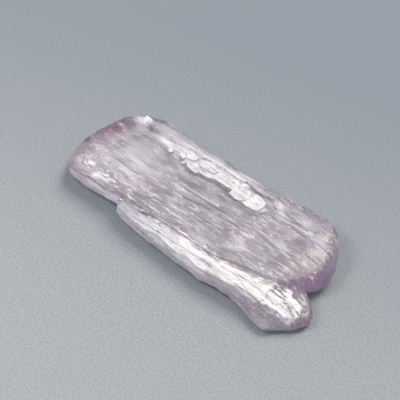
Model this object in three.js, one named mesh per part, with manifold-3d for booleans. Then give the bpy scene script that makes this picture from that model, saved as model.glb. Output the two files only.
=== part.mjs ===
// A kunzite crystal (spodumene): a flat striated blade, a smaller blade grown along its front edge,
// and cleavage plates standing on its back ridge, all grown together in one solid.
// Millimetres. +X runs along the striations, +Y to the back ridge, +Z up. The crystal lies on its
// lower cleavage face, at Z = 0.
import * as THREE from 'three';
import { mergeVertices } from 'three/addons/utils/BufferGeometryUtils.js';
import Module from 'manifold-3d';

const LILAC = 0xcbbecd;
const CRYSTAL_ROUGHNESS = 0.35;

// The middle of the crystal's box in plan, which is put at the origin.
const CENTRE_X = 0.78;
const CENTRE_Y = -0.38;
// Form smaller than this is merged away.
const SMALLEST_DETAIL = 0.022;

// Curves along the crystal are lists of [x, value]. Curves of an end are lists of [y, x]. An inset is
// how far a side stands in from its widest line, at heights from the bottom (0) to the top (1).
const BLADE = {
  divisions: { along: 110, across: 60, up: 5 },
  rowStiffness: 3,
  front: [
    [-26, -6.7], [-24, -7.7], [-21, -8], [-17, -7.9], [-13, -7.6], [8, -7.9], [14, -6.4], [19, -5.2],
    [22, -4], [24.5, -2.4],
  ],
  back: [
    [-21, 10.1], [-17, 10.5], [-10, 9.9], [-5, 9.9], [2, 10.2], [8, 10.1], [12, 10.9], [16, 11.5],
    [20.5, 11.3],
  ],
  leftEnd: [[-7.3, -25.7], [-5.2, -26.6], [-1.3, -27.1], [3.7, -26.3], [7.4, -24.2], [10.1, -20.8]],
  rightEnd: [
    [-3.6, 22.9], [-2, 24.3], [-0.5, 25.1], [1.7, 26], [3.9, 26.1], [5.6, 25.6], [7.4, 24.6],
    [9.3, 22.9], [10.8, 21],
  ],
  top: [
    [-26, 3.7], [-24, 4.5], [-20, 5], [-10, 5.2], [5, 5.3], [15, 5.1], [21, 4.9], [24, 4.5], [26, 3.8],
  ],
  frontInset: [[0, 1.2], [0.35, 0.1], [0.5, 0], [1, 0.3]],
  backInset: [[0, 0.8], [0.5, 0.1], [1, 0]],
  leftInset: [[0, 1], [0.4, 0], [0.7, 0.4], [0.88, 0.9], [1, 1.7]],
  rightInset: [[0, 1.1], [0.35, 0.3], [0.6, 0.1], [0.85, 0.6], [1, 1.4]],
};
const RIDGE = {
  foot: 4.9,
  crest: 7.1,
  brow: 7.7,
  rise: [[-26, 0.1], [-19, 0.6], [-13, 1.1], [8, 1.1], [13, 0.7], [20, 0.5], [26, 0.2]],
  backFall: 1.2,
  backReach: 0.6,
};
const FRONT_SHOULDER = { width: 1.9, fall: [[-16, 0.9], [-11, 0.25], [26, 0.25]] };

const SIDE = {
  divisions: { along: 90, across: 22, up: 5 },
  rowStiffness: 1,
  front: [
    [-13, -8.8], [-10, -9.6], [-6, -10.2], [0, -10.6], [8, -11], [12, -10.8], [17, -11], [20, -11.8],
    [22, -12.3], [24, -12.3], [26, -11.6],
  ],
  back: [[-13, -6.6], [0, -6.4], [10, -5.4], [18, -3.9], [24, -1.9], [28, -2.6]],
  leftEnd: [[-8.8, -12.3], [-6.6, -13.1]],
  rightEnd: [
    [-11.6, 23.5], [-10.7, 25.3], [-9.1, 27.2], [-7.5, 28.2], [-6.2, 28.6], [-4.7, 28.4], [-3.8, 27.7],
    [-2.8, 26.3], [-2.1, 24.6],
  ],
  lowEdge: [[-13, 3.5], [0, 3.8], [15, 3.8], [20, 3.5], [24, 2.9], [27, 1.8], [29, 1.3]],
  crestHeight: [
    [-13, 4.5], [-8, 4.9], [10, 5], [17, 4.9], [21, 4.7], [24, 4.4], [26, 3.8], [28, 2.9], [29, 2.4],
  ],
  crestLine: [
    [-13, -8.6], [-5, -8.6], [0, -8.3], [11, -8.4], [17, -7.7], [20, -7], [24, -6.7], [28, -7.5],
  ],
  backSlope: 0.26,
  underside: 0.3,
  // The foot of the front, up to this share of the height, is drawn in. Above it the front leans in.
  footTop: 0.3,
  footInset: 0.8,
  frontLean: [[-13, 0.3], [12, 0.5], [17, 0.9], [20, 1.6], [22, 2], [24, 1.7], [26, 1.2], [28, 0.5]],
  backInset: [[0, 0.6], [0.4, 0], [1, 0.4]],
  leftInset: [[0, 0.5], [0.3, 0], [1, 0.3]],
  rightInset: [[0, 0.4], [0.25, 0], [0.7, 0.1], [1, 0.5]],
};

// Long shallow steps on the faces: the line y they follow, how far they rise, and from where to where.
const BLADE_LEDGES = [
  [-6.6, 0.16, -22, -2], [-5.9, -0.2, -12, 9], [-5.1, 0.22, -20, 12], [-4.2, -0.2, -16, 20],
  [-3.3, 0.2, -8, 22], [-2.6, -0.18, -23, 4], [-1.7, 0.2, -13, 18], [-0.9, -0.24, -20, 11],
  [-0.1, 0.18, -5, 24], [0.8, 0.16, -17, 2], [1.5, -0.22, -10, 21], [2.3, 0.2, 3, 24],
  [3, -0.18, -15, 10], [3.9, -0.16, -3, 22], [5.2, 0.2, 11, 24], [6.6, -0.22, 10, 23],
  [8.1, -0.16, -17, 22], [8.8, 0.2, -14, 14], [9.5, -0.22, -11, 19],
];
const SIDE_LEDGES = [
  [-9.6, 0.14, -9, 14], [-8.9, -0.14, -4, 27], [-8.2, 0.16, 12, 28], [-7.3, -0.16, 15, 27],
  [-6.3, 0.16, 17, 26], [-5.2, -0.18, 18, 28],
];
const LEDGE_WIDTH = 0.3;
const LEDGE_FADE = 3;

// The ends are etched into bumps, which fade out this far from the end.
const BLADE_ETCHED_REACH = 3.2;
const SIDE_ETCHED_REACH = 1.6;
const ETCHED_DEPTH = 0.18;
// The bumps are products of two waves that cross. Each product: its share, then for both waves the
// turn along x, the turn along y and the start, in radians and millimetres.
const ETCHED_WAVES = [
  { share: 0.6, first: [1.7, 2.3, 0.6], second: [-1.1, 2.9, 1.9] },
  { share: 0.4, first: [4.1, -1.3, 0], second: [2.1, 3.7, 0.8] },
];
// The end faces of the blade carry the same bumps, laid out along their height and their width.
const END_BUMPS = { depth: 0.22, upwards: 3, across: 9 };

// A shell-shaped break in the front corner of the left end. Its middle is flat up to this share.
const SHELL_BREAK = { x: -22, y: -5.4, length: 3.6, width: 1.7, depth: 0.4, middle: 0.3 };
const SHELL_RIPPLES = { height: 0.1, rate: 12 };

// Cleavage plates: corners in plan, and how far the plate stands above or below the common slope.
// The first three are the bed that the row of plates shares, which shows in the cracks between them.
const PLATES = [
  { lift: -0.14, corners: [[-8.7, 5.9], [-7.6, 4.9], [-5.4, 4.4], [-2, 5], [-2, 7], [-7, 6.9]] },
  { lift: -0.14, corners: [[-2.4, 5.1], [2.8, 5.2], [3.4, 6], [3.2, 7.6], [-1, 7.7], [-2.4, 7]] },
  { lift: -0.14, corners: [[2.4, 4.7], [3.6, 4.3], [8.4, 4.3], [8.7, 5.4], [6.1, 6.7], [3.4, 7]] },
  { lift: -0.15, corners: [[-9.1, 5.2], [-8.7, 5.5], [-9.1, 6.2], [-9.7, 6.2], [-10, 5.6]] },
  {
    lift: -0.05,
    corners: [
      [-8.4, 5.8], [-7.6, 5.6], [-6.8, 6], [-6.7, 6.7], [-7.7, 6.9], [-8.8, 6.9], [-9.1, 6.4],
    ],
  },
  {
    lift: -0.08,
    corners: [
      [-7.4, 4.5], [-6.3, 4.3], [-5.3, 4.2], [-4.9, 4.6], [-5.9, 5.8], [-7.5, 5.6], [-8, 5.1],
    ],
  },
  {
    lift: 0.06,
    corners: [
      [-5.8, 5.9], [-5.3, 5.65], [-3.4, 5.65], [-2.3, 5.85], [-2, 6.5], [-2.6, 7], [-4.2, 7.05],
      [-5.1, 6.95], [-5.8, 6.7],
    ],
  },
  {
    lift: -0.02,
    corners: [
      [-4.8, 4.7], [-3.9, 4.65], [-2.8, 4.7], [-2, 5], [-2.3, 5.55], [-4.4, 5.6], [-5.4, 5.4],
    ],
  },
  {
    lift: 0,
    corners: [
      [-1.7, 5.2], [-0.7, 5.15], [1.5, 5.2], [2.8, 5.4], [3, 6], [2.6, 6.9], [1.1, 7.1], [-0.4, 7.1],
      [-1, 6.9], [-1.5, 6.2],
    ],
  },
  {
    lift: -0.05,
    corners: [
      [-1.3, 7.75], [-1, 7.45], [1.4, 7.35], [2.9, 7.45], [3.6, 7.8], [2.2, 8], [0.5, 8.05],
      [-0.8, 8],
    ],
  },
  { lift: -0.1, corners: [[3.3, 6.15], [4.4, 6.7], [4.6, 7.2], [3.5, 7.4], [2.9, 6.85]] },
  {
    lift: -0.12,
    corners: [
      [2.2, 4.5], [3.7, 4.2], [5, 4.6], [5.8, 5.6], [5.2, 6.7], [4.3, 6.6], [3.3, 6], [2.4, 5.3],
    ],
  },
  { lift: -0.15, corners: [[5.3, 4.35], [6.5, 4.1], [6.1, 5.8], [5.8, 5.3]] },
  {
    lift: -0.03,
    corners: [
      [6.6, 4.2], [7.6, 4.25], [8.5, 4.5], [8.9, 5.5], [8.8, 6.3], [7.1, 6.8], [6.3, 6.75],
      [6.05, 5.8],
    ],
  },
];
const PLATE_ROOT = 3;
const PLATE_FRONT_HEIGHT = 5.75;
const PLATE_FRONT_LINE = 5;
const PLATE_SLOPE = 0.3;

const wasm = await Module();
wasm.setup();

const mix = THREE.MathUtils.lerp;
const step = THREE.MathUtils.smoothstep;

// The value at a place on a smooth curve through the points of a list.
function along(curve, place) {
  const last = curve.length - 1;
  if (place <= curve[0][0]) return curve[0][1];
  if (place >= curve[last][0]) return curve[last][1];
  const right = curve.findIndex(([at]) => at > place);
  const [x0, v0] = curve[right - 1];
  const [x1, v1] = curve[right];
  const slope = (index) => {
    const before = curve[Math.max(index - 1, 0)];
    const after = curve[Math.min(index + 1, last)];
    return (after[1] - before[1]) / (after[0] - before[0]);
  };
  const width = x1 - x0;
  const u = (place - x0) / width;
  const bend0 = slope(right - 1) * width;
  const bend1 = slope(right) * width;
  const uu = u * u;
  const uuu = uu * u;
  const rise = 3 * uu - 2 * uuu;
  return mix(v0, v1, rise) + bend0 * (uuu - 2 * uu + u) + bend1 * (uuu - uu);
}

// The long steps of a face, each fading out at its two ends.
function ledgeHeight(ledges, x, y) {
  let height = 0;
  for (const [line, rise, from, to] of ledges) {
    const there = step(x, from, from + LEDGE_FADE) * (1 - step(x, to - LEDGE_FADE, to));
    height += rise * there * step(y, line, line + LEDGE_WIDTH);
  }
  return height;
}

// A shallow dish with ripples that follow its rim.
function shellBreakDepth(x, y) {
  const fromMiddle = [(x - SHELL_BREAK.x) / SHELL_BREAK.length, (y - SHELL_BREAK.y) / SHELL_BREAK.width];
  const out = Math.hypot(...fromMiddle);
  const ripple = SHELL_RIPPLES.height * Math.cos(SHELL_RIPPLES.rate * out);
  return (SHELL_BREAK.depth + ripple) * (1 - step(out, SHELL_BREAK.middle, 1));
}

function wave([turnX, turnY, start], x, y) {
  return Math.sin(turnX * x + turnY * y + start);
}

// Bumps of the etched ends, from -1 to 1.
function etching(x, y) {
  return ETCHED_WAVES.reduce(
    (sum, { share, first, second }) => sum + share * wave(first, x, y) * wave(second, x, y),
    0,
  );
}

// How near a place is to an end of a blade, 1 at the end and 0 past the reach of its etching.
function nearEnd(distance, reach) {
  return 1 - step(distance, 0, reach);
}

function bladeTop(x, y, endDistance) {
  const fromFront = y - along(BLADE.front, x);
  const shoulder = along(FRONT_SHOULDER.fall, x) * (1 - step(fromFront, 0, FRONT_SHOULDER.width));
  const ridge = along(RIDGE.rise, x) * step(y, RIDGE.foot, RIDGE.crest);
  const backFall = RIDGE.backFall * step(y, RIDGE.brow, along(BLADE.back, x) + RIDGE.backReach);
  const atEnd = nearEnd(endDistance, BLADE_ETCHED_REACH);
  const etched = ETCHED_DEPTH * atEnd * etching(x, y);
  const ledges = (1 - atEnd) * ledgeHeight(BLADE_LEDGES, x, y);
  return along(BLADE.top, x) - shoulder + ridge - backFall + ledges + etched - shellBreakDepth(x, y);
}

// A box with its faces divided, each of whose points is moved by place(s, t, h): s runs from the left
// end to the right, t from front to back and h from bottom to top, each from 0 to 1.
function shapedBox({ along: nx, across: ny, up: nz }, place) {
  const box = new THREE.BoxGeometry(1, 1, 1, nx, ny, nz);
  box.deleteAttribute('normal');
  box.deleteAttribute('uv');
  const geometry = mergeVertices(box);
  const points = geometry.getAttribute('position');
  for (let i = 0; i < points.count; i += 1) {
    const [x, y, z] = place(points.getX(i) + 0.5, points.getY(i) + 0.5, points.getZ(i) + 0.5);
    points.setXYZ(i, x, y, z);
  }
  return geometry;
}

// The place across a blade. The stiffer its rows, the straighter they keep along the striations, and
// the fewer of them, near each side, follow the curve of that side.
function across({ front, back, rowStiffness }, x, t) {
  const straightFront = front[0][1];
  const straightBack = back[0][1];
  const frontBend = (along(front, x) - straightFront) * (1 - t) ** rowStiffness;
  const backBend = (along(back, x) - straightBack) * t ** rowStiffness;
  return mix(straightFront, straightBack, t) + frontBend + backBend;
}

function endPlace(end, t) {
  return along(end, mix(end[0][0], end[end.length - 1][0], t));
}

function bladeGeometry() {
  return shapedBox(BLADE.divisions, (s, t, h) => {
    const left = endPlace(BLADE.leftEnd, t);
    const right = endPlace(BLADE.rightEnd, t);
    const bumps = END_BUMPS.depth * h * etching(left + END_BUMPS.upwards * h, END_BUMPS.across * t);
    const start = left + along(BLADE.leftInset, h) + bumps;
    const end = right - along(BLADE.rightInset, h) - bumps;
    const x = mix(start, end, s);
    const inset = mix(along(BLADE.frontInset, h), -along(BLADE.backInset, h), t);
    const y = across(BLADE, x, t) + inset;
    return [x, y, h * bladeTop(x, y, Math.min(x - left, right - x))];
  });
}

function sideTop(x, y, endDistance) {
  const low = along(SIDE.lowEdge, x);
  const crest = along(SIDE.crestHeight, x);
  const crestLine = along(SIDE.crestLine, x);
  const lowLine = along(SIDE.front, x) + along(SIDE.frontLean, x);
  const share = THREE.MathUtils.clamp((y - lowLine) / (crestLine - lowLine), 0, 1);
  const tilted = mix(low, crest, share);
  const behind = SIDE.backSlope * Math.max(y - crestLine, 0);
  const etched = ETCHED_DEPTH * nearEnd(endDistance, SIDE_ETCHED_REACH) * etching(x, y);
  return tilted - behind + ledgeHeight(SIDE_LEDGES, x, y) + etched;
}

function sideGeometry() {
  return shapedBox(SIDE.divisions, (s, t, h) => {
    const left = endPlace(SIDE.leftEnd, t);
    const right = endPlace(SIDE.rightEnd, t);
    const x = mix(left + along(SIDE.leftInset, h), right - along(SIDE.rightInset, h), s);
    const lean = along(SIDE.frontLean, x);
    const foot = SIDE.footInset * (1 - step(h, 0, SIDE.footTop));
    const frontInset = foot + lean * step(h, SIDE.footTop, 1);
    const inset = mix(frontInset, -along(SIDE.backInset, h), t);
    const y = across(SIDE, x, t) + inset;
    return [x, y, mix(SIDE.underside, sideTop(x, y, right - x), h)];
  });
}

function plateGeometry({ lift, corners }) {
  const outline = new THREE.Shape(corners.map(([x, y]) => new THREE.Vector2(x, y)));
  const prism = new THREE.ExtrudeGeometry(outline, { depth: 1, bevelEnabled: false });
  prism.deleteAttribute('normal');
  prism.deleteAttribute('uv');
  const geometry = mergeVertices(prism);
  const points = geometry.getAttribute('position');
  for (let i = 0; i < points.count; i += 1) {
    const top = PLATE_FRONT_HEIGHT + lift + PLATE_SLOPE * (points.getY(i) - PLATE_FRONT_LINE);
    points.setZ(i, mix(PLATE_ROOT, top, points.getZ(i)));
  }
  return geometry;
}

function toSolid(geometry) {
  return new wasm.Manifold(new wasm.Mesh({
    numProp: 3,
    vertProperties: new Float32Array(geometry.getAttribute('position').array),
    triVerts: new Uint32Array(geometry.getIndex().array),
  }));
}

function toGeometry(solid) {
  const mesh = solid.getMesh();
  const geometry = new THREE.BufferGeometry();
  geometry.setAttribute('position', new THREE.BufferAttribute(mesh.vertProperties, mesh.numProp));
  geometry.setIndex(new THREE.BufferAttribute(mesh.triVerts, 1));
  return geometry;
}

function crystalGeometry() {
  const grown = [bladeGeometry(), sideGeometry(), ...PLATES.map(plateGeometry)].map(toSolid);
  const geometry = toGeometry(wasm.Manifold.union(grown).asOriginal().simplify(SMALLEST_DETAIL));
  geometry.translate(-CENTRE_X, -CENTRE_Y, 0);
  geometry.computeVertexNormals();
  return geometry;
}

const crystal = new THREE.Mesh(
  crystalGeometry(),
  new THREE.MeshStandardMaterial({ color: LILAC, roughness: CRYSTAL_ROUGHNESS, metalness: 0 }),
);
crystal.name = 'kunzite_crystal';

const group = new THREE.Group();
group.add(crystal);

export default group;
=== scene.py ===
"""A kunzite crystal (spodumene) lying on a pale floor: a flat striated blade, a smaller blade grown
along its front edge, and frosted cleavage plates standing on its back ridge.

Shapes are worked out in millimetres: x runs along the striations, y to the back ridge and z up.
They are moved to the middle of the box and turned to metres when the mesh is made.
"""
import math
from types import SimpleNamespace

import bpy
import numpy as np
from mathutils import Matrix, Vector


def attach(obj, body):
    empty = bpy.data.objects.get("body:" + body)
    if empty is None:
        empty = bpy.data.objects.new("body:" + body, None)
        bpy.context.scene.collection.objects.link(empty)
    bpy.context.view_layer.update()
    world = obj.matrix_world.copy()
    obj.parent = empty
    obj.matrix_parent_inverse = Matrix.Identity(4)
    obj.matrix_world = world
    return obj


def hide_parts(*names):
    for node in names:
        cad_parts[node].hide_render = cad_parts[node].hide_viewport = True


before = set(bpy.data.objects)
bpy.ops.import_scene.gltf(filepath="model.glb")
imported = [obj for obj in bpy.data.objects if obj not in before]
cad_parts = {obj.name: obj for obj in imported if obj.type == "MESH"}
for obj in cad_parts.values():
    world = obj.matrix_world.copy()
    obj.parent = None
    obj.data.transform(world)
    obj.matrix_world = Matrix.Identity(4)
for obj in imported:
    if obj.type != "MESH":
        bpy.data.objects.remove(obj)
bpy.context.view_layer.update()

MM = 0.001
# The middle of the crystal's box in plan, in the millimetres that the shapes are worked out in.
CENTRE_X = 0.78
CENTRE_Y = -0.38

# ---------------------------------------------------------------------------------------------
# Sizes, in millimetres. Curves along the crystal are lists of (x, value), curves of an end are
# lists of (y, x), and curves of a side's slope are lists of (height from 0 to 1, inset). A pair is
# where something starts and where it is complete. A grade of noise is its length, width and strength.
# ---------------------------------------------------------------------------------------------

BLADE_DIVISIONS = (250, 210, 16)
BLADE_STIFFNESS = 3
BLADE_FRONT = [
    (-26, -6.7), (-24, -7.7), (-21, -8), (-17, -7.9), (-13, -7.6), (8, -7.9), (14, -6.4), (19, -5.2),
    (22, -4), (24.5, -2.4),
]
BLADE_BACK = [
    (-21, 10.1), (-17, 10.5), (-10, 9.9), (-5, 9.9), (2, 10.2), (8, 10.1), (12, 10.9), (16, 11.5),
    (20.5, 11.3),
]
BLADE_LEFT_END = [(-7.3, -25.7), (-5.2, -26.6), (-1.3, -27.1), (3.7, -26.3), (7.4, -24.2), (10.1, -20.8)]
BLADE_RIGHT_END = [
    (-3.6, 22.9), (-2, 24.3), (-0.5, 25.1), (1.7, 26), (3.9, 26.1), (5.6, 25.6), (7.4, 24.6),
    (9.3, 22.9), (10.8, 21),
]
BLADE_TOP = [
    (-26, 3.7), (-24, 4.5), (-20, 5), (-10, 5.2), (5, 5.3), (15, 5.1), (21, 4.9), (24, 4.5), (26, 3.8),
]
BLADE_FRONT_INSET = [(0, 1.2), (0.35, 0.1), (0.5, 0), (1, 0.3)]
BLADE_BACK_INSET = [(0, 0.8), (0.5, 0.1), (1, 0)]
BLADE_LEFT_INSET = [(0, 1), (0.4, 0), (0.7, 0.4), (0.88, 0.9), (1, 1.7)]
BLADE_RIGHT_INSET = [(0, 1.1), (0.35, 0.3), (0.6, 0.1), (0.85, 0.6), (1, 1.4)]

RIDGE_FOOT = 4.9
RIDGE_CREST = 7.1
RIDGE_BROW = 7.7
RIDGE_RISE = [(-26, 0.1), (-19, 0.6), (-13, 1.1), (8, 1.1), (13, 0.7), (20, 0.5), (26, 0.2)]
RIDGE_BACK_FALL = 1.2
RIDGE_BACK_REACH = 0.6
SHOULDER_WIDTH = 1.9
SHOULDER_FALL = [(-16, 0.9), (-11, 0.25), (26, 0.25)]

SIDE_DIVISIONS = (280, 60, 14)
SIDE_STIFFNESS = 1
SIDE_FRONT = [
    (-13, -8.8), (-10, -9.6), (-6, -10.2), (0, -10.6), (8, -11), (12, -10.8), (17, -11), (20, -11.8),
    (22, -12.3), (24, -12.3), (26, -11.6),
]
SIDE_BACK = [(-13, -6.6), (0, -6.4), (10, -5.4), (18, -3.9), (24, -1.9), (28, -2.6)]
SIDE_LEFT_END = [(-8.8, -12.3), (-6.6, -13.1)]
SIDE_RIGHT_END = [
    (-11.6, 23.5), (-10.7, 25.3), (-9.1, 27.2), (-7.5, 28.2), (-6.2, 28.6), (-4.7, 28.4), (-3.8, 27.7),
    (-2.8, 26.3), (-2.1, 24.6),
]
SIDE_LOW_EDGE = [(-13, 3.5), (0, 3.8), (15, 3.8), (20, 3.5), (24, 2.9), (27, 1.8), (29, 1.3)]
SIDE_CREST_HEIGHT = [
    (-13, 4.5), (-8, 4.9), (10, 5), (17, 4.9), (21, 4.7), (24, 4.4), (26, 3.8), (28, 2.9), (29, 2.4),
]
SIDE_CREST_LINE = [
    (-13, -8.6), (-5, -8.6), (0, -8.3), (11, -8.4), (17, -7.7), (20, -7), (24, -6.7), (28, -7.5),
]
SIDE_BACK_SLOPE = 0.26
SIDE_UNDERSIDE = 0.3
SIDE_FRONT_LEAN = [(-13, 0.3), (12, 0.5), (17, 0.9), (20, 1.6), (22, 2), (24, 1.7), (26, 1.2), (28, 0.5)]
SIDE_FOOT_TOP = 0.3
SIDE_FOOT_INSET = 0.8
SIDE_BACK_INSET = [(0, 0.6), (0.4, 0), (1, 0.4)]
SIDE_LEFT_INSET = [(0, 0.5), (0.3, 0), (1, 0.3)]
SIDE_RIGHT_INSET = [(0, 0.4), (0.25, 0), (0.7, 0.1), (1, 0.5)]

# Long shallow steps on the faces: the line y they follow, how far they rise, from where, to where.
BLADE_LEDGES = [
    (-6.6, 0.16, -22, -2), (-5.9, -0.2, -12, 9), (-5.1, 0.22, -20, 12), (-4.2, -0.2, -16, 20),
    (-3.3, 0.2, -8, 22), (-2.6, -0.18, -23, 4), (-1.7, 0.2, -13, 18), (-0.9, -0.24, -20, 11),
    (-0.1, 0.18, -5, 24), (0.8, 0.16, -17, 2), (1.5, -0.22, -10, 21), (2.3, 0.2, 3, 24),
    (3, -0.18, -15, 10), (3.9, -0.16, -3, 22), (5.2, 0.2, 11, 24), (6.6, -0.22, 10, 23),
    (8.1, -0.16, -17, 22), (8.8, 0.2, -14, 14), (9.5, -0.22, -11, 19),
]
SIDE_LEDGES = [
    (-9.6, 0.14, -9, 14), (-8.9, -0.14, -4, 27), (-8.2, 0.16, 12, 28), (-7.3, -0.16, 15, 27),
    (-6.3, 0.16, 17, 26), (-5.2, -0.18, 18, 28),
]
LEDGE_WIDTH = 0.3
LEDGE_FADE = 3

# Striations on the faces: length, width and height of each of three grades, from broad to fine. The
# finest of a real crystal are thinner than these, which are drawn as coarse as they need to show.
STRIATIONS = [(9, 0.8, 0.022), (5, 0.36, 0.03), (3, 0.18, 0.03)]
# Patches in which the striations are stronger or weaker: their size, the weakest share, and where in
# their noise the strong ones start and are complete.
PATCH_LENGTH = 7
PATCH_WIDTH = 3.5
PATCH_WEAKEST = 0.3
PATCH_EDGE = (-0.5, 0.5)
# The rows of the side blade are spread by this, which makes its striations finer.
SIDE_ROW_SPREAD = 2

# Both ends are etched into bumps, which fade out this far from the end.
ETCHED_REACH = 3.2
SIDE_ETCHED_REACH = 1.6
ETCHED_DEPTH = 0.18
# The etching adds up pairs of crossing waves. Each pair: its share, and for each of its two waves how
# fast that runs along x and along y, and where it starts.
ETCHING_WAVES = [
    (0.6, (1.7, 2.3, 0.6), (-1.1, 2.9, 1.9)),
    (0.4, (4.1, -1.3, 0), (2.1, 3.7, 0.8)),
]
# The end faces of the main blade carry the same bumps, laid out along their height and their width.
END_BUMP_DEPTH = 0.22
END_BUMP_UPWARDS = 3
END_BUMP_ACROSS = 9
# Finer bumps of the etching.
ETCHED_BUMPS = [(0.9, 0.9, 0.07), (0.5, 0.5, 0.08), (0.28, 0.28, 0.05)]
# The sides are broken unevenly: length, height and depth of each grade of hollow.
WALL_HOLLOWS = [(3.2, 2.5, 0.2), (1.3, 1.1, 0.1), (0.8, 0.7, 0.05)]
# The end faces are rougher still.
END_HOLLOWS = [(1.3, 1, 0.12), (0.6, 0.55, 0.09)]
# The hollows start above the foot of a side, as a share of its height, and this power makes them fade
# inwards from it.
HOLLOW_FOOT = (0, 0.2)
BLADE_HOLLOW_FADE = 8
SIDE_HOLLOW_FADE = 6
# What the hollows are laid out on: the height of a side, and the widths of the two blades' end faces.
WALL_HEIGHT = 5
BLADE_WIDTH = 18
SIDE_WIDTH = 8

# A shell-shaped break in the front corner of the left end.
BREAK_X = -22
BREAK_Y = -5.4
BREAK_LENGTH = 3.6
BREAK_WIDTH = 1.7
BREAK_DEPTH = 0.4
BREAK_RIPPLE = 0.1
BREAK_RIPPLE_RATE = 12
# Its dish starts at its rim and is complete this share of the way out from its middle.
BREAK_RIM = (1, 0.3)

# Cleavage plates: how far each stands above or below the common slope, and its corners in plan, which
# run anticlockwise.
PLATES = [
    (-0.1, [(-9.1, 5.2), (-8.7, 5.5), (-9.1, 6.2), (-9.7, 6.2), (-10, 5.6)]),
    (-0.05, [(-8.4, 5.8), (-7.6, 5.6), (-6.8, 6), (-6.7, 6.7), (-7.7, 6.9), (-8.8, 6.9), (-9.1, 6.4)]),
    (-0.08, [(-7.4, 4.5), (-6.3, 4.3), (-5.3, 4.2), (-4.9, 4.6), (-5.9, 5.8), (-7.5, 5.6), (-8, 5.1)]),
    (0.06, [
        (-5.8, 5.9), (-5.3, 5.65), (-3.4, 5.65), (-2.3, 5.85), (-2, 6.5), (-2.6, 7), (-4.2, 7.05),
        (-5.1, 6.95), (-5.8, 6.7),
    ]),
    (-0.02, [(-4.8, 4.7), (-3.9, 4.65), (-2.8, 4.7), (-2, 5), (-2.3, 5.55), (-4.4, 5.6), (-5.4, 5.4)]),
    (0, [
        (-1.7, 5.2), (-0.7, 5.15), (1.5, 5.2), (2.8, 5.4), (3, 6), (2.6, 6.9), (1.1, 7.1),
        (-0.4, 7.1), (-1, 6.9), (-1.5, 6.2),
    ]),
    (-0.05, [
        (-1.3, 7.75), (-1, 7.45), (1.4, 7.35), (2.9, 7.45), (3.6, 7.8), (2.2, 8), (0.5, 8.05),
        (-0.8, 8),
    ]),
    (-0.1, [(3.3, 6.15), (4.4, 6.7), (4.6, 7.2), (3.5, 7.4), (2.9, 6.85)]),
    (-0.1, [
        (2.2, 4.5), (3.7, 4.2), (5, 4.6), (5.8, 5.6), (5.2, 6.7), (4.3, 6.6), (3.3, 6), (2.4, 5.3),
    ]),
    (-0.1, [(5.3, 4.35), (6.5, 4.1), (6.1, 5.8), (5.8, 5.3)]),
    (-0.03, [
        (6.6, 4.2), (7.6, 4.25), (8.5, 4.5), (8.9, 5.5), (8.8, 6.3), (7.1, 6.8), (6.3, 6.75),
        (6.05, 5.8),
    ]),
]
# They share a bed of three pieces, which shows in the cracks between them.
PLATE_BED = [
    (-0.22, [(-9.2, 5.6), (-8.4, 5), (-5.4, 4.4), (-2, 5), (-2, 7), (-7, 6.9), (-8.9, 6.5)]),
    (-0.22, [(-2.4, 5.1), (2.8, 5.2), (3.4, 6), (3.2, 7.6), (-1, 7.7), (-2.4, 7)]),
    (-0.22, [(2.4, 4.7), (3.6, 4.3), (8.4, 4.3), (8.7, 5.4), (6.1, 6.7), (3.4, 7)]),
]
# All of them start from this height, inside the blade. The common slope of their tops has its own
# height at its front line, and rises behind it.
PLATE_ROOT = 3
PLATE_FRONT_HEIGHT = 5.75
PLATE_FRONT_LINE = 5
PLATE_SLOPE = 0.3
# Steps of a plate's surface round its outline, up its wall and in over its top.
PLATE_ROUND_STEPS = 72
PLATE_WALL_STEPS = 7
PLATE_TOP_STEPS = 9
# Its wall draws in by this share of its width, over this part of its height.
PLATE_EDGE_ROUNDING = 0.02
PLATE_RIM = (0.7, 1)
# The most that its top leans either way.
PLATE_TILT = 0.05
# They are spread a little past their corners, so that the cracks between them are narrow.
PLATE_SPREAD = 1.07
# Their outlines are jagged and their tops slightly rough.
PLATE_JAGS = [(0.5, 0.5, 0.05), (0.2, 0.2, 0.04)]
PLATE_ROUGHNESS = [(0.9, 0.4, 0.04), (0.35, 0.2, 0.02)]

# Small chips of cleavage strewn along the plates: how many, the line they follow, and the least and
# the most of how far each lies behind that line, of its size, of its corners' reach as a share of its
# size, and of its lift from the common slope. They are longer along x, and their corners are uneven.
CHIP_COUNT = 22
CHIP_LINE = [(-12, 5.6), (-7, 4.8), (0, 5.6), (9, 5.2)]
CHIP_BEHIND = (-0.27, 0.9)
CHIP_SIZES = (0.22, 0.5)
CHIP_CORNER_REACH = (0.6, 1.2)
CHIP_LIFTS = (-0.45, -0.2)
CHIP_STRETCH = 1.6
CHIP_CORNERS = 6
CHIP_UNEVENNESS = 0.7

# A white chip at the back corner of the left end, which lies flat on the face.
CORNER_CHIP = (-1.8, [(-21.1, 7.7), (-20, 7.3), (-18.8, 8), (-19.1, 8.9), (-20.5, 9.1)])

# ---------------------------------------------------------------------------------------------
# Finishes, in the same millimetres, pairs and grades. A spot is its middle x and y, half length, half
# width and strength. A stretch is where it starts, where it is complete, and its strength.
# ---------------------------------------------------------------------------------------------

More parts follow.
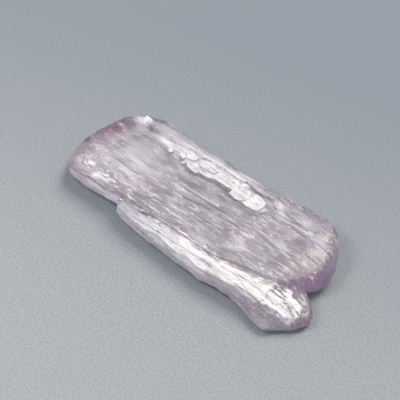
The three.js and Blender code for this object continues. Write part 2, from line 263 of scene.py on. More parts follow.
# Milky veils whiten the blades, and a few strong spots round the shell-shaped break at the front corner
# of the left end are painted highlights. The ones with a strength below 0 are clearer places.
VEILS_AND_HIGHLIGHTS = [
    (-22.3, -5.6, 2, 1.5, 0.3), (-22, 5, 4, 2.5, -0.08), (-21.3, -5.3, 0.8, 0.35, 0.6),
    (-20.5, 8, 1.6, 0.9, 0.35), (-20, 6.6, 1.6, 1.4, 0.35), (-18.9, -6.9, 0.5, 0.4, 1),
    (-17.2, -6.5, 1.8, 0.5, 0.7), (-16.5, 6.9, 2.4, 0.5, -0.04), (-16, -2.5, 5, 2.6, 0.26),
    (-15, 0, 2.4, 0.8, 0.12), (-15, 3.4, 5, 2.2, -0.03), (-14, 6.2, 3.5, 0.5, 0.4),
    (-13, 6.2, 2.8, 0.4, 0.7), (-12.4, 3.1, 1.5, 0.8, 0.16), (-12, 8.9, 6, 0.8, 0.16),
    (-12, 6, 1.2, 0.5, -0.3), (-12, 4, 1.2, 0.8, 0.25), (-11, -1, 7, 2, 0.1),
    (-9, 7.6, 9, 0.9, 0.3), (0, 8.2, 9, 1, 0.24), (0, 8, 5, 0.35, 0.35), (2, -1.2, 4, 1.6, 0.07),
    (3, 9.5, 2.4, 0.2, 0.5), (5, 6.9, 2, 1, -0.3), (8, 1.5, 7, 2, -0.06), (9.5, -3.6, 2.4, 1, 0.12),
    (13.5, 2, 5, 2.4, -0.12), (14, 7.5, 7, 2.2, 0.06), (15.5, 0.4, 1.5, 0.6, 0.15),
    (17.5, 3, 3, 0.7, -0.12), (17.8, -2.8, 2.4, 0.6, -0.12), (18, 4.5, 3.5, 2.5, -0.1),
    (18.4, -1, 4.5, 1, -0.2), (18.6, -0.6, 2, 0.7, -0.15), (21, 5.8, 2.2, 1.5, 0.3),
    (21, 2.4, 2.2, 2.6, -0.22), (22.5, -4.4, 1.6, 0.6, 0.15), (23.6, 2.2, 2.2, 3.2, -0.34),
]
# Calm places show few lines.
CALM = [
    (-15.5, 3.2, 5.5, 2.6, 0.95), (-14, 9, 5, 1.1, 0.9), (-8, 2.4, 4, 1, 0.5),
    (-2, -2.8, 3, 0.7, 0.4), (2.3, 2.7, 1.6, 0.8, 0.8), (4, 9.8, 14, 0.8, 0.6),
    (6.3, 3, 1.8, 1.2, 0.8), (17.8, -2.8, 2.2, 0.5, 0.7), (18.6, -0.7, 2.6, 0.7, 0.8),
]
# Mauve places.
MAUVE = [
    (22, -5, 2.6, 1.4, 0.6), (15, -10.8, 3, 0.7, 0.3), (24.5, -0.5, 2, 2.5, 0.5), (-23, 5, 3, 3, 0.4),
    (9, 8.6, 5, 1, 0.4), (27.5, -6, 1.5, 1.5, 0.5), (-19, -7.6, 5, 0.9, 0.6), (10, -11, 12, 0.8, 0.4),
]
# Places with no pink in them.
NEUTRAL = [(-13, 4, 8, 3.5, 1.2), (1, 3.5, 6, 2, 0.8)]
# Dark specks on the left end.
SPECKS = [
    (-18.8, 9.6, 0.45, 0.4, 1), (-17.4, 7.2, 0.6, 0.15, 0.8), (-23.4, 8.4, 0.35, 0.3, 0.7),
    (-25.2, -7.1, 0.5, 0.5, 1), (-21, 8, 0.25, 0.2, 0.6),
]
# Glints, which are small bright spots strewn about some places: the middle x and y, the spreads and
# how many. Then the least and the most of their radius and their strength. They are longer along x.
GLINTS = [
    (-23, 2, 1.6, 4, 16), (24.3, 0, 1, 2, 20), (19, -5.5, 4, 0.7, 30), (-14, -5, 5, 1.5, 18),
    (2, -1, 12, 3, 24), (1, -7.9, 9, 0.4, 60), (-17.2, -6.5, 1.4, 0.4, 24),
]
GLINT_RADII = (0.102, 0.17)
GLINT_STRENGTHS = (0.36, 0.9)
GLINT_STRETCH = 1.8

# Fine lines along the striations. Each grade: how many, the shortest and the longest, half width,
# and the weakest and the strongest. The finest of a real crystal are thinner than these, which are
# drawn as coarse as they need to show.
BRIGHT_LINES = [
    (900, 0.5, 2, 0.07, 0.05, 0.6), (260, 1.5, 4, 0.06, 0.05, 0.7), (110, 3, 8, 0.06, 0.1, 0.8),
]
DARK_LINES = [(900, 0.4, 1.8, 0.07, 0.05, 0.25), (150, 2, 5, 0.06, 0.05, 0.2)]
SLOPE_LINES = [(500, 1, 6, 0.06, 0.1, 1), (300, 0.4, 1.6, 0.06, 0.1, 0.8)]
SLOPE_ROWS = (-12, -6)
# The higher the rarity, the fewer of the lines are strong ones. They slant a little either way, and
# are worked out this far across from their middles.
LINE_RARITY = 2.2
LINE_SLANT = 0.02
LINE_ROOM = 1
# Single bright lines: the middle x and y, the length and the strength, and the half width of all.
SINGLE_LINES = [
    (-2.6, -5.1, 6.2, 0.7), (19.8, -1.9, 7.8, 0.6), (22.6, 0.9, 2.6, 0.7), (-0.8, 0.9, 6.4, 0.5),
    (-8, -4.2, 4, 0.5), (12, -3.2, 5, 0.4), (17, 1.6, 4, 0.4), (1.5, 9.5, 2.2, 0.8),
]
SINGLE_HALF_WIDTH = 0.1
# Busy and quiet patches of lines: their length and width, how strong the lines are in quiet and in
# busy ones, and where in their noise the busy ones start and are complete.
BUSY_CELLS = (6, 2)
BUSY_STRENGTHS = (0.6, 1.2)
BUSY_EDGE = (-0.3, 0.5)

# Cracks, as lines in plan: across the broad end of the side blade's slope, along it, and the swirl of
# the shell-shaped break. They show only above these heights, and they shade what they cross.
CRACKS = [
    [(20.7, -7.5), (21.1, -8.9), (20.5, -9.7), (20.2, -10.5)], [(20.7, -7.5), (21.3, -6.7), (21, -5.5)],
    [(21.5, -6.9), (23.6, -7.2), (25.6, -7.7), (27.1, -8.4)], [(21.6, -9.4), (25.5, -9.3), (27.5, -9.5)],
    [(23.4, -6.2), (25.9, -7), (28, -7.4)], [(13.7, -8.4), (15.8, -8.8), (18.5, -9.6)],
    [(-23.2, -4.8), (-22.6, -6), (-21.2, -6.4)], [(-22.4, -4.9), (-21.9, -5.6), (-20.6, -5.8)],
    [(-18.2, -6.2), (-16.9, -6.4), (-16, -6)], [(-17.6, -7.1), (-16, -7.2), (-15.2, -6.6)],
    [(-18, -2), (-15.5, -2.3), (-12.8, -2.3)], [(-13.1, -7.2), (-12.7, -8.2), (-12.9, -9)],
]
CRACK_HALF_WIDTH = 0.09
CRACK_HEIGHTS = (2.4, 3)
CRACK_SHADE = 0.6

# How much white there is on the plain faces, the walls, the slope of the side blade, the plates and the
# bed between them. The white of the slope is partly its pearly frosting and partly a painted highlight.
FACE_WHITE = 0.18
WALL_WHITE = 0.48
SLOPE_FROST_AND_HIGHLIGHT = 1.2
PLATE_WHITE = 0.72
BED_WHITE = 0.5
# Soft patches in the white of the faces, of which the plates show a share under their own clouds.
FACE_PATCHES = [(5, 1.5, 0.12), (2.2, 0.8, 0.15)]
PLATE_PATCHES = 0.5
PLATE_CLOUDS = [(2.2, 1.6, 0.2)]
# The white of the walls lies in bands along them. It is stronger at their foot, under their rim and
# towards the left end, and weaker towards the side blade's tip.
LONG_BANDS = [(5, 0.5, 0.22)]
SHORT_BANDS = [(2, 0.4, 0.22)]
WALL_WHITE_UPWARDS = [(1.1, 0.3, 0.38), (2.9, 3.4, 0.2)]
WALL_WHITE_ALONG = [(-9, -17, 0.3), (17, 21, -0.32)]

# How strong the fine texture is there, next to 1 on the busiest faces.
CALM_TEXTURE = 0.4
WALL_TEXTURE = 0.65
SLOPE_TEXTURE = 3.6
PLATE_TEXTURE = 1.8

# A wall lies this far below its face, and its finish starts and is complete a little lower. On both
# sides of the middle line, the rows of the face run on down the wall.
RIM_DROP = 0.9
WALL_EDGE = (0.1, 0.9)
MIDDLE_LINE = 1

# The finish of the plates and of their bed reaches down to these levels, from their common slope, and
# that of the chips from the face. The sides of an outline in plan are this soft.
PLATE_LEVELS = (-0.26, -0.2)
BED_LEVELS = (-0.9, -0.6)
CHIP_LEVELS = (-0.3, 0.1)
PLAN_EDGE = (-0.15, 0.02)
PLATE_CREAM = 0.4
# A grey line of shade runs along the foot of the plates, where their plan reaches when it is moved to
# the right and to the front by this much, up to this far above the face.
SHADE_RIGHT = 0.1
SHADE_FRONT = 0.3
SHADE_LEVELS = (0.5, 0.1)
SHADE = 0.35

# The left end of the main blade: how far its finish reaches in, the share of it left at the front and
# at the back, and how much clearer, more clouded, weaker in lines and texture, duller and more mauve
# it is.
LEFT_REACH = (6.5, 1)
LEFT_FRONT = (0, -5)
LEFT_FRONT_SHARE = 0.4
LEFT_BACK = (4, 7)
LEFT_BACK_SHARE = 0.65
LEFT_CLEARING = 0.24
LEFT_CLOUDS = [(1.3, 0.9, 0.14)]
LEFT_LINES = 0.4
LEFT_TEXTURE = 0.35
LEFT_DULLNESS = 0.6
LEFT_MAUVE = 0.75
LEFT_MAUVE_CLOUDS = [(1.6, 1.1, 0.35)]

# The right end of the main blade, in the same way. Its clearness and its violet fall off from the
# first of two strengths to the second, towards the back.
RIGHT_REACH = (3.5, 0.3)
RIGHT_FRONT = (-7, -4)
RIGHT_CLEARING = (0.34, 0.16)
RIGHT_CLEARING_FALL = (1, 5)
RIGHT_LINES = 0.7
RIGHT_TEXTURE = 1.5
RIGHT_VIOLET = (1, 0.6)
RIGHT_VIOLET_FALL = (0, 5)

# The tip of the side blade, and how mauve it is behind the front of its rim.
TIP_REACH = (2.2, 0.3)
TIP_BACK = (-2, -5)
TIP_MAUVE = 0.8
TIP_MAUVE_FRONT = (-9.6, -8.2)

# The white slope of the side blade, whose white is partly pearly frosting and partly a painted highlight
# of the light that it mirrors. Its rims are ragged, and more so at its broad end.
SLOPE_RAGGED = [(2.5, 0.35, 0.35), (0.8, 0.2, 0.25)]
SLOPE_BROAD_END = (13, 19)
SLOPE_BROAD_RAGGED = [(0.9, 0.4, 0.6)]
# It ends at this line in front, and this far from the rim of the broad end.
SLOPE_FRONT = [(10, -12), (14, -10.6), (16, -9.7), (19, -9.8), (24, -9.6), (28.5, -9.1)]
SLOPE_RIM = [(-8.6, 0.2), (-6, 1.5)]
# Its edges: how ragged each is, where it starts and where it is complete. The first two are shares of
# the way from the low edge to the crest. Along the narrow part this much is added to a place's share,
# so that the white ends sooner behind.
SLOPE_LOW_EDGE = (0.4, -0.1, 0.2)
SLOPE_CREST_EDGE = (1, 1.8, 0.9)
SLOPE_FRONT_EDGE = (0.5, -0.2, 0.3)
SLOPE_RIM_EDGE = (0.4, 0, 0.6)
SLOPE_NARROW = [(12, 6, 0.35)]
SLOPE_LEFT = (-13, -11)
# It keeps above these heights, and reaches lower at the tip.
SLOPE_HEIGHTS = (2.4, 3)
SLOPE_TIP = (23, 25)
SLOPE_TIP_HEIGHTS = (1.2, 1.6)
# It is a little less white at its start, and warmer further on, where its cream is painted warm light.
SLOPE_START = (-11, -7)
SLOPE_START_WHITE = 0.85
SLOPE_PAINTED_WARMTH = [(-11, -6, 0.55), (6, 16, 0.4)]
SLOPE_MAUVE = 0.5

# Seeds of the random patterns. The grades of a pattern take this number and the ones after it.
SEED = {
    "chips": 7, "glints": 9, "blade striations": 10, "side striations": 20, "blade bumps": 40,
    "side bumps": 50, "busy": 59, "face patches": 60, "bright lines": 62, "dark lines": 63,
    "slope lines": 64, "front wall": 70, "back wall": 75, "side wall": 80, "tip face": 82,
    "left face": 85, "right face": 88, "slope rims": 90, "plate beds": 90, "long bands": 92,
    "left clouds": 93, "left mauve": 94, "plate clouds": 95, "broad end rims": 96, "short bands": 97,
    "plates": 100,
}
# The patches of the striations and each plate after the first have seeds this much further on.
PATCH_SEED_STEP = 5
PLATE_SEED_STEP = 10

# ---------------------------------------------------------------------------------------------
# Curves and noise
# ---------------------------------------------------------------------------------------------

# The noise repeats after this many cells, which is far past the crystal.
NOISE_CELLS = 512


def mix(first, second, share):
    """The first where the share is 0, the second where it is 1, and in proportion between."""
    return first + (second - first) * share


def step(value, start, end):
    """0 up to start, 1 from end, and 3u^2 - 2u^3 between, where u is the share of the way. The end may
    lie on either side of the start."""
    u = np.clip((value - start) / (end - start), 0, 1)
    return u * u * (3 - 2 * u)


def along(curve, place):
    """The value at each place on a smooth curve through the points: cubic pieces, with the slope at
    each point that of the line between its neighbours."""
    at, value = np.array(curve, float).T
    slope = np.gradient(value, at)
    slope[1:-1] = (value[2:] - value[:-2]) / (at[2:] - at[:-2])
    place = np.clip(place, at[0], at[-1])
    left = np.clip(np.searchsorted(at, place, side="right") - 1, 0, len(at) - 2)
    width = at[left + 1] - at[left]
    u = (place - at[left]) / width
    rise = step(u, 0, 1)
    bend = slope[left] * (u - 2 * u**2 + u**3) + slope[left + 1] * (u**3 - u**2)
    return mix(value[left], value[left + 1], rise) + bend * width


def noise(x, y, length, width, seed):
    """Smooth random values from -1 to 1 on cells of length by width: each corner of a cell has its own
    value, and step() blends between them. Each row of cells starts at its own place along x."""
    random = np.random.default_rng(seed)
    values = random.uniform(-1, 1, (NOISE_CELLS, NOISE_CELLS))
    starts = random.uniform(0, NOISE_CELLS, NOISE_CELLS)
    v = y / width
    row = np.floor(v).astype(int)

    def in_row(number):
        """The value in a row of corners, between the two corners that a place lies between."""
        number = number % NOISE_CELLS
        u = x / length + starts[number]
        column = np.floor(u).astype(int)
        near = values[number, column % NOISE_CELLS]
        far = values[number, (column + 1) % NOISE_CELLS]
        return mix(near, far, step(u - column, 0, 1))

    return mix(in_row(row), in_row(row + 1), step(v - row, 0, 1))


def noise_sum(grades, x, y, seed):
    """The sum of some grades of noise, each with its own length, width and strength."""
    total = np.zeros_like(x)
    for number, (length, width, strength) in enumerate(grades):
        total += strength * noise(x, y, length, width, seed + number)
    return total


def spots(places, x, y):
    """The sum of round-topped spots: each is its strength times exp(-d^2), where d is the distance
    from its middle in its own half length and half width."""
    total = np.zeros_like(x)
    for middle_x, middle_y, half_length, half_width, strength in places:
        distance = np.hypot((x - middle_x) / half_length, (y - middle_y) / half_width)
        total += strength * np.exp(-distance**2)
    return total


def stretches(ranges, place):
    """The sum of some stretches: each is its strength times step() over it."""
    return sum(strength * step(place, start, end) for start, end, strength in ranges)


# ---------------------------------------------------------------------------------------------
# Relief
# ---------------------------------------------------------------------------------------------

def ledge_height(ledges, x, y):
    """The sum of the long steps: each rises across its line and fades out at its two ends."""
    height = np.zeros_like(x)
    for line, rise, start, end in ledges:
        there = step(x, start, start + LEDGE_FADE) * (1 - step(x, end - LEDGE_FADE, end))
        height += rise * there * step(y, line, line + LEDGE_WIDTH)
    return height


def striations(x, row, seed):
    """The sum of three grades of noise drawn out along x, stronger in some patches than in others.
    The row is a place across the face that keeps to one row of the mesh, so that the finest lines
    stay unbroken."""
    patches = noise(x, row, PATCH_LENGTH, PATCH_WIDTH, seed + PATCH_SEED_STEP)
    patch = mix(PATCH_WEAKEST, 1, step(patches, *PATCH_EDGE))
    height = np.zeros_like(x)
    for number, (length, width, rise) in enumerate(STRIATIONS):
        height += rise * patch * noise(x, row, length, width, seed + number)
    return height


def etching(x, y):
    """Bumps of the etched ends, from -1 to 1: a sum of products of two waves that cross at a slant."""
    height = np.zeros_like(x)
    for share, *waves in ETCHING_WAVES:
        first, second = (np.sin(by_x * x + by_y * y + start) for by_x, by_y, start in waves)
        height += share * first * second
    return height


def wall_hollows(grades, x, h, seed):
    """The sum of some grades of noise over a side, laid out along it and up it, which is at rest at
    the foot."""
    return noise_sum(grades, x, h * WALL_HEIGHT, seed) * step(h, *HOLLOW_FOOT)


def near_end(distance, reach):
    """1 at the end of a blade, and 0 past the reach of its etching."""
    return step(distance, reach, 0)


def shell_break_depth(x, y):
    """A shallow dish with ripples that follow its rim: out is 0 in its middle and 1 at its rim."""
    out = np.hypot((x - BREAK_X) / BREAK_LENGTH, (y - BREAK_Y) / BREAK_WIDTH)
    ripple = BREAK_RIPPLE * np.cos(BREAK_RIPPLE_RATE * out)
    return (BREAK_DEPTH + ripple) * step(out, *BREAK_RIM)


# ---------------------------------------------------------------------------------------------
# The two blades
# ---------------------------------------------------------------------------------------------

def across(front, back, stiffness, x, t):
    """The place across a blade. The stiffer its rows, the straighter they keep along the striations,
    and the fewer of them, near each side, follow the curve of that side."""
    straight_front = front[0][1]
    straight_back = back[0][1]
    front_bend = (along(front, x) - straight_front) * (1 - t) ** stiffness
    back_bend = (along(back, x) - straight_back) * t**stiffness
    return mix(straight_front, straight_back, t) + front_bend + back_bend


def end_place(end, t):
    """The x of an end, t of the way from its front corner to its back corner."""
    return along(end, mix(end[0][0], end[-1][0], t))


def blade_top(x, y, end_distance):
    """The top of the main blade: its long curve, less the front shoulder, plus the back ridge with
    its fall to the back, plus the ledges and the etched ends, less the shell-shaped break."""
    shoulder = along(SHOULDER_FALL, x) * (1 - step(y - along(BLADE_FRONT, x), 0, SHOULDER_WIDTH))
    ridge = along(RIDGE_RISE, x) * step(y, RIDGE_FOOT, RIDGE_CREST)
    back_fall = RIDGE_BACK_FALL * step(y, RIDGE_BROW, along(BLADE_BACK, x) + RIDGE_BACK_REACH)
    bumps = ETCHED_DEPTH * etching(x, y) + noise_sum(ETCHED_BUMPS, x, y, SEED["blade bumps"])
    at_end = near_end(end_distance, ETCHED_REACH)
    etched = at_end * bumps
    ledges = ledge_height(BLADE_LEDGES, x, y) * (1 - at_end)
    whole = along(BLADE_TOP, x) - shoulder + ridge - back_fall + ledges
    return whole + etched - shell_break_depth(x, y)


def blade_point(s, t, h):
    """A point of the main blade: s runs from the left end to the right, t from front to back and h
    from bottom to top. Its ends and sides stand in by their insets at each height."""
    left = end_place(BLADE_LEFT_END, t)
    right = end_place(BLADE_RIGHT_END, t)
    bumps = END_BUMP_DEPTH * h * etching(left + END_BUMP_UPWARDS * h, END_BUMP_ACROSS * t)
    left_face = bumps + wall_hollows(END_HOLLOWS, t * BLADE_WIDTH, h, SEED["left face"])
    right_face = bumps + wall_hollows(END_HOLLOWS, t * BLADE_WIDTH, h, SEED["right face"])
    start = left + along(BLADE_LEFT_INSET, h) + left_face
    end = right - along(BLADE_RIGHT_INSET, h) - right_face
    x = mix(start, end, s)
    inset = mix(along(BLADE_FRONT_INSET, h), -along(BLADE_BACK_INSET, h), t)
    front_hollows = wall_hollows(WALL_HOLLOWS, x, h, SEED["front wall"])
    back_hollows = wall_hollows(WALL_HOLLOWS, x, h, SEED["back wall"])
    uneven = mix(front_hollows, -back_hollows, t) * (2 * t - 1) ** BLADE_HOLLOW_FADE
    y = across(BLADE_FRONT, BLADE_BACK, BLADE_STIFFNESS, x, t) + inset + uneven
    row = mix(BLADE_FRONT[0][1], BLADE_BACK[0][1], t)
    end_distance = np.minimum(x - left, right - x)
    smooth = 1 - near_end(end_distance, ETCHED_REACH)
    top = blade_top(x, y, end_distance) + smooth * striations(x, row, SEED["blade striations"])
    return x, y, h * top


def side_top(x, y, end_distance):
    """The top of the side blade: it rises from its low front edge to its crest, falls gently behind
    it, and carries ledges and an etched end."""
    low = along(SIDE_LOW_EDGE, x)
    crest = along(SIDE_CREST_HEIGHT, x)
    crest_line = along(SIDE_CREST_LINE, x)
    low_line = along(SIDE_FRONT, x) + along(SIDE_FRONT_LEAN, x)
    tilted = mix(low, crest, np.clip((y - low_line) / (crest_line - low_line), 0, 1))
    behind = SIDE_BACK_SLOPE * np.maximum(y - crest_line, 0)
    bumps = ETCHED_DEPTH * etching(x, y) + noise_sum(ETCHED_BUMPS, x, y, SEED["side bumps"])
    etched = near_end(end_distance, SIDE_ETCHED_REACH) * bumps
    return tilted - behind + ledge_height(SIDE_LEDGES, x, y) + etched


def side_point(s, t, h):
    """A point of the side blade, by the same three ways as one of the main blade. Its underside
    stands just off the floor."""
    left = end_place(SIDE_LEFT_END, t)
    right = end_place(SIDE_RIGHT_END, t)
    start = left + along(SIDE_LEFT_INSET, h)
    tip_face = wall_hollows(END_HOLLOWS, t * SIDE_WIDTH, h, SEED["tip face"])
    end = right - along(SIDE_RIGHT_INSET, h) - tip_face
    x = mix(start, end, s)
    lean = along(SIDE_FRONT_LEAN, x)
    foot = SIDE_FOOT_INSET * step(h, SIDE_FOOT_TOP, 0)
    front_inset = foot + lean * step(h, SIDE_FOOT_TOP, 1)
    inset = mix(front_inset, -along(SIDE_BACK_INSET, h), t)
    uneven = wall_hollows(WALL_HOLLOWS, x, h, SEED["side wall"]) * (1 - t) ** SIDE_HOLLOW_FADE
    y = across(SIDE_FRONT, SIDE_BACK, SIDE_STIFFNESS, x, t) + inset + uneven
    row = mix(SIDE_FRONT[0][1], SIDE_BACK[0][1], t) * SIDE_ROW_SPREAD
    top = side_top(x, y, right - x) + striations(x, row, SEED["side striations"])
    return x, y, mix(SIDE_UNDERSIDE, top, h)


def grid_quads(first_steps, second_steps):
    """The quads of a grid, as the places of their four corners along its two ways."""
    i, j = np.meshgrid(np.arange(first_steps), np.arange(second_steps), indexing="ij")
    return np.array([i, i + 1, i + 1, i]), np.array([j, j, j + 1, j + 1])


def body_quads(along_steps, across_steps, up_steps):
    """The quads of a divided box but for its bottom, as corners counted along, across and up, each
    row of quads wound so that its face points out."""
    i, j = grid_quads(along_steps, across_steps)
    top = np.stack([i, j, np.full_like(i, up_steps)], -1)
    i, k = grid_quads(along_steps, up_steps)
    front = np.stack([i, np.zeros_like(i), k], -1)
    back = np.stack([i, np.full_like(i, across_steps), k], -1)[::-1]
    j, k = grid_quads(across_steps, up_steps)
    right = np.stack([np.full_like(j, along_steps), j, k], -1)
    left = np.stack([np.zeros_like(j), j, k], -1)[::-1]
    return np.concatenate([side.reshape(4, -1, 3) for side in (top, front, back, right, left)], axis=1)


def body_mesh(name, divisions, place):
    """A closed body: a divided box whose corners, counted along, across and up, are moved by
    place(s, t, h). Its flat bottom has one long quad for each step along, and one face at each end."""
    along_steps, across_steps, _ = divisions
    quads = body_quads(*divisions)
    corners, index = np.unique(quads.reshape(-1, 3), axis=0, return_inverse=True)
    quads = index.reshape(4, -1).T
    points = np.stack(place(*(corners / np.array(divisions)).T), -1)
    number = {tuple(corner): at for at, corner in enumerate(corners) if corner[2] == 0}
    bottom = [
        [number[i, 0, 0], number[i, across_steps, 0], number[i + 1, across_steps, 0], number[i + 1, 0, 0]]
        for i in range(1, along_steps - 1)
    ]
    sides = range(across_steps + 1)
    left = [number[1, 0, 0], *(number[0, j, 0] for j in sides), number[1, across_steps, 0]]
    last = along_steps - 1
    right = [number[last, across_steps, 0]]
    right += [number[along_steps, j, 0] for j in reversed(sides)]
    right += [number[last, 0, 0]]
    return crystal_object(name, points, [*quads.tolist(), *bottom, left, right])


def crystal_object(name, points, faces):
    """An object of these points, moved to the middle of the box and turned to metres."""
    mesh = bpy.data.meshes.new(name)
    placed = (points - (CENTRE_X, CENTRE_Y, 0)) * MM
    mesh.from_pydata(placed.tolist(), [], faces)
    mesh.update()
    made = bpy.data.objects.new(name, mesh)
    bpy.context.scene.collection.objects.link(made)
    return made


# ---------------------------------------------------------------------------------------------
# Cleavage plates
# ---------------------------------------------------------------------------------------------

def outline_point(corners, u):
    """The point u of the way round the outline, from 0 to 1, by straight lines between its corners."""
    closed = np.array([*corners, corners[0]], float)
    lengths = np.hypot(*np.diff(closed, axis=0).T)
    reached = np.concatenate([[0], np.cumsum(lengths)]) / lengths.sum()
    return np.interp(u, reached, closed[:, 0]), np.interp(u, reached, closed[:, 1])


def plate_surface(lift, corners, tilt, seed):
    """The surface of a plate: u runs round its outline, and the rows from its root up its wall to the
    rim, then in over its top. The top slopes up to the back, with up to so much tilt of its own, and
    is slightly rough."""
    middle_x, middle_y = np.mean(corners, axis=0)
    u = np.arange(PLATE_ROUND_STEPS) / PLATE_ROUND_STEPS
    rim_x, rim_y = outline_point(corners, u)
    wall = np.linspace(0, 1, PLATE_WALL_STEPS)
    top = np.linspace(1, 0, PLATE_TOP_STEPS)[1:-1]
    reach = np.concatenate([np.ones_like(wall), top])[:, None]
    height = np.concatenate([wall, np.ones_like(top)])[:, None]
    jags = noise_sum(PLATE_JAGS, rim_x, rim_y, seed)
    at_rim = step(height, *PLATE_RIM) * (reach == 1)
    out = reach * (PLATE_SPREAD - PLATE_EDGE_ROUNDING * at_rim + jags)
    x = middle_x + (rim_x - middle_x) * out
    y = middle_y + (rim_y - middle_y) * out
    tilt_x, tilt_y = np.random.default_rng(seed).uniform(-tilt, tilt, 2)
    leaning = tilt_x * (x - middle_x) + tilt_y * (y - middle_y)
    rough = noise_sum(PLATE_ROUGHNESS, x, y, seed + len(PLATE_JAGS))
    surface = PLATE_FRONT_HEIGHT + lift + PLATE_SLOPE * (y - PLATE_FRONT_LINE) + leaning + rough
    return x, y, mix(PLATE_ROOT, surface, height)


def plate_mesh(name, lift, corners, tilt, seed):
    """The surface of a plate as a closed mesh, with a point in the middle of its top and another in
    the middle of its root."""
    x, y, z = plate_surface(lift, corners, tilt, seed)
    middle_x, middle_y = np.mean(corners, axis=0)
    middles = [[middle_x, middle_y, z[-1].mean()], [middle_x, middle_y, PLATE_ROOT]]
    points = np.concatenate([np.stack([x, y, z], -1).reshape(-1, 3), middles])
    peak, root = z.size, z.size + 1
    at = np.arange(z.size).reshape(z.shape)
    after = np.roll(at, -1, axis=1)
    quads = np.stack([at[:-1], after[:-1], after[1:], at[1:]], -1).reshape(-1, 4)
    over = np.stack([at[-1], after[-1], np.full(PLATE_ROUND_STEPS, peak)], -1)
    under = np.stack([after[0], at[0], np.full(PLATE_ROUND_STEPS, root)], -1)
    return crystal_object(name, points, [*quads.tolist(), *over.tolist(), *under.tolist()])


def chip_outlines():
    """Outlines of the small chips: uneven rings of corners, strewn about a line of the ridge."""
    random = np.random.default_rng(SEED["chips"])
    outlines = []
    for x in random.uniform(CHIP_LINE[0][0], CHIP_LINE[-1][0], CHIP_COUNT):
        y = along(CHIP_LINE, x) + random.uniform(*CHIP_BEHIND)
        shifts = random.uniform(0, CHIP_UNEVENNESS, CHIP_CORNERS)
        angles = (np.arange(CHIP_CORNERS) + shifts) * math.tau / CHIP_CORNERS
        sizes = random.uniform(*CHIP_SIZES) * random.uniform(*CHIP_CORNER_REACH, CHIP_CORNERS)
        corners = np.stack([x + CHIP_STRETCH * sizes * np.cos(angles), y + sizes * np.sin(angles)], -1)
        outlines.append((random.uniform(*CHIP_LIFTS), corners.tolist()))
    return outlines


# ---------------------------------------------------------------------------------------------
# One solid
# ---------------------------------------------------------------------------------------------

def grown_together(whole, parts):
    """The union of all of them, in the first one's mesh."""
    together = bpy.data.collections.new("grown_on")
    for part in parts:
        together.objects.link(part)
    union = whole.modifiers.new("grown_together", "BOOLEAN")
    union.operation = "UNION"
    union.solver = "MANIFOLD"
    union.operand_type = "COLLECTION"
    union.collection = together
    depsgraph = bpy.context.evaluated_depsgraph_get()
    joined = bpy.data.meshes.new_from_object(whole.evaluated_get(depsgraph))
    whole.modifiers.clear()
    joined.materials.clear()
    whole.data = joined
    for part in parts:
        bpy.data.objects.remove(part)
    bpy.data.collections.remove(together)


def vertex_places(mesh):
    """The x, y and z of every vertex, in the millimetres that the shapes are worked out in."""
    places = np.empty(len(mesh.vertices) * 3, np.float32)
    mesh.vertices.foreach_get("co", places)
    x, y, z = places.reshape(-1, 3).T.astype(float) / MM
    return x + CENTRE_X, y + CENTRE_Y, z


def add_attribute(mesh, name, values):
    """A value for every vertex, for the material to read."""
    attribute = mesh.attributes.new(name, "FLOAT", "POINT")
    attribute.data.foreach_set("value", values.astype(np.float32))


# ---------------------------------------------------------------------------------------------
# Material
# ---------------------------------------------------------------------------------------------

# Painted light: the paper's colour is lightest towards the front and a little to the right, standing for
# light that falls off towards the back. How far its line of grading is turned from the crystal's width,
# and where the grading starts and ends along it.
PAINTED_FALLOFF_TURN = math.radians(-19)
PAINTED_FALLOFF_START = -50 * MM
PAINTED_FALLOFF_END = 70 * MM

# Sockets of a node that mixes two colours.
MIX_A = 6
MIX_B = 7
MIX_RESULT = 2


def colour(hex_digits):
    """A linear colour from six sRGB hex digits."""
    srgb = np.array([int(hex_digits[i:i + 2], 16) for i in (0, 2, 4)]) / 255
    linear = np.where(srgb <= 0.04045, srgb / 12.92, ((srgb + 0.055) / 1.055) ** 2.4)
    return (*linear.tolist(), 1)


def node(tree, kind, inputs=None, output=0, **settings):
    """Adds a node with its settings and gives one of its outputs. Each input is a value or the output
    of another node."""
    made = tree.nodes.new(kind)
    for name, value in settings.items():
        setattr(made, name, value)
    for name, value in (inputs or {}).items():
        if isinstance(value, bpy.types.NodeSocket):
            tree.links.new(value, made.inputs[name])
        else:
            made.inputs[name].default_value = value
    return made.outputs[output] if made.outputs else None


def new_material(name):
    """An empty node material."""
    material = bpy.data.materials.new(name)
    material.use_nodes = True
    material.node_tree.nodes.clear()
    return material


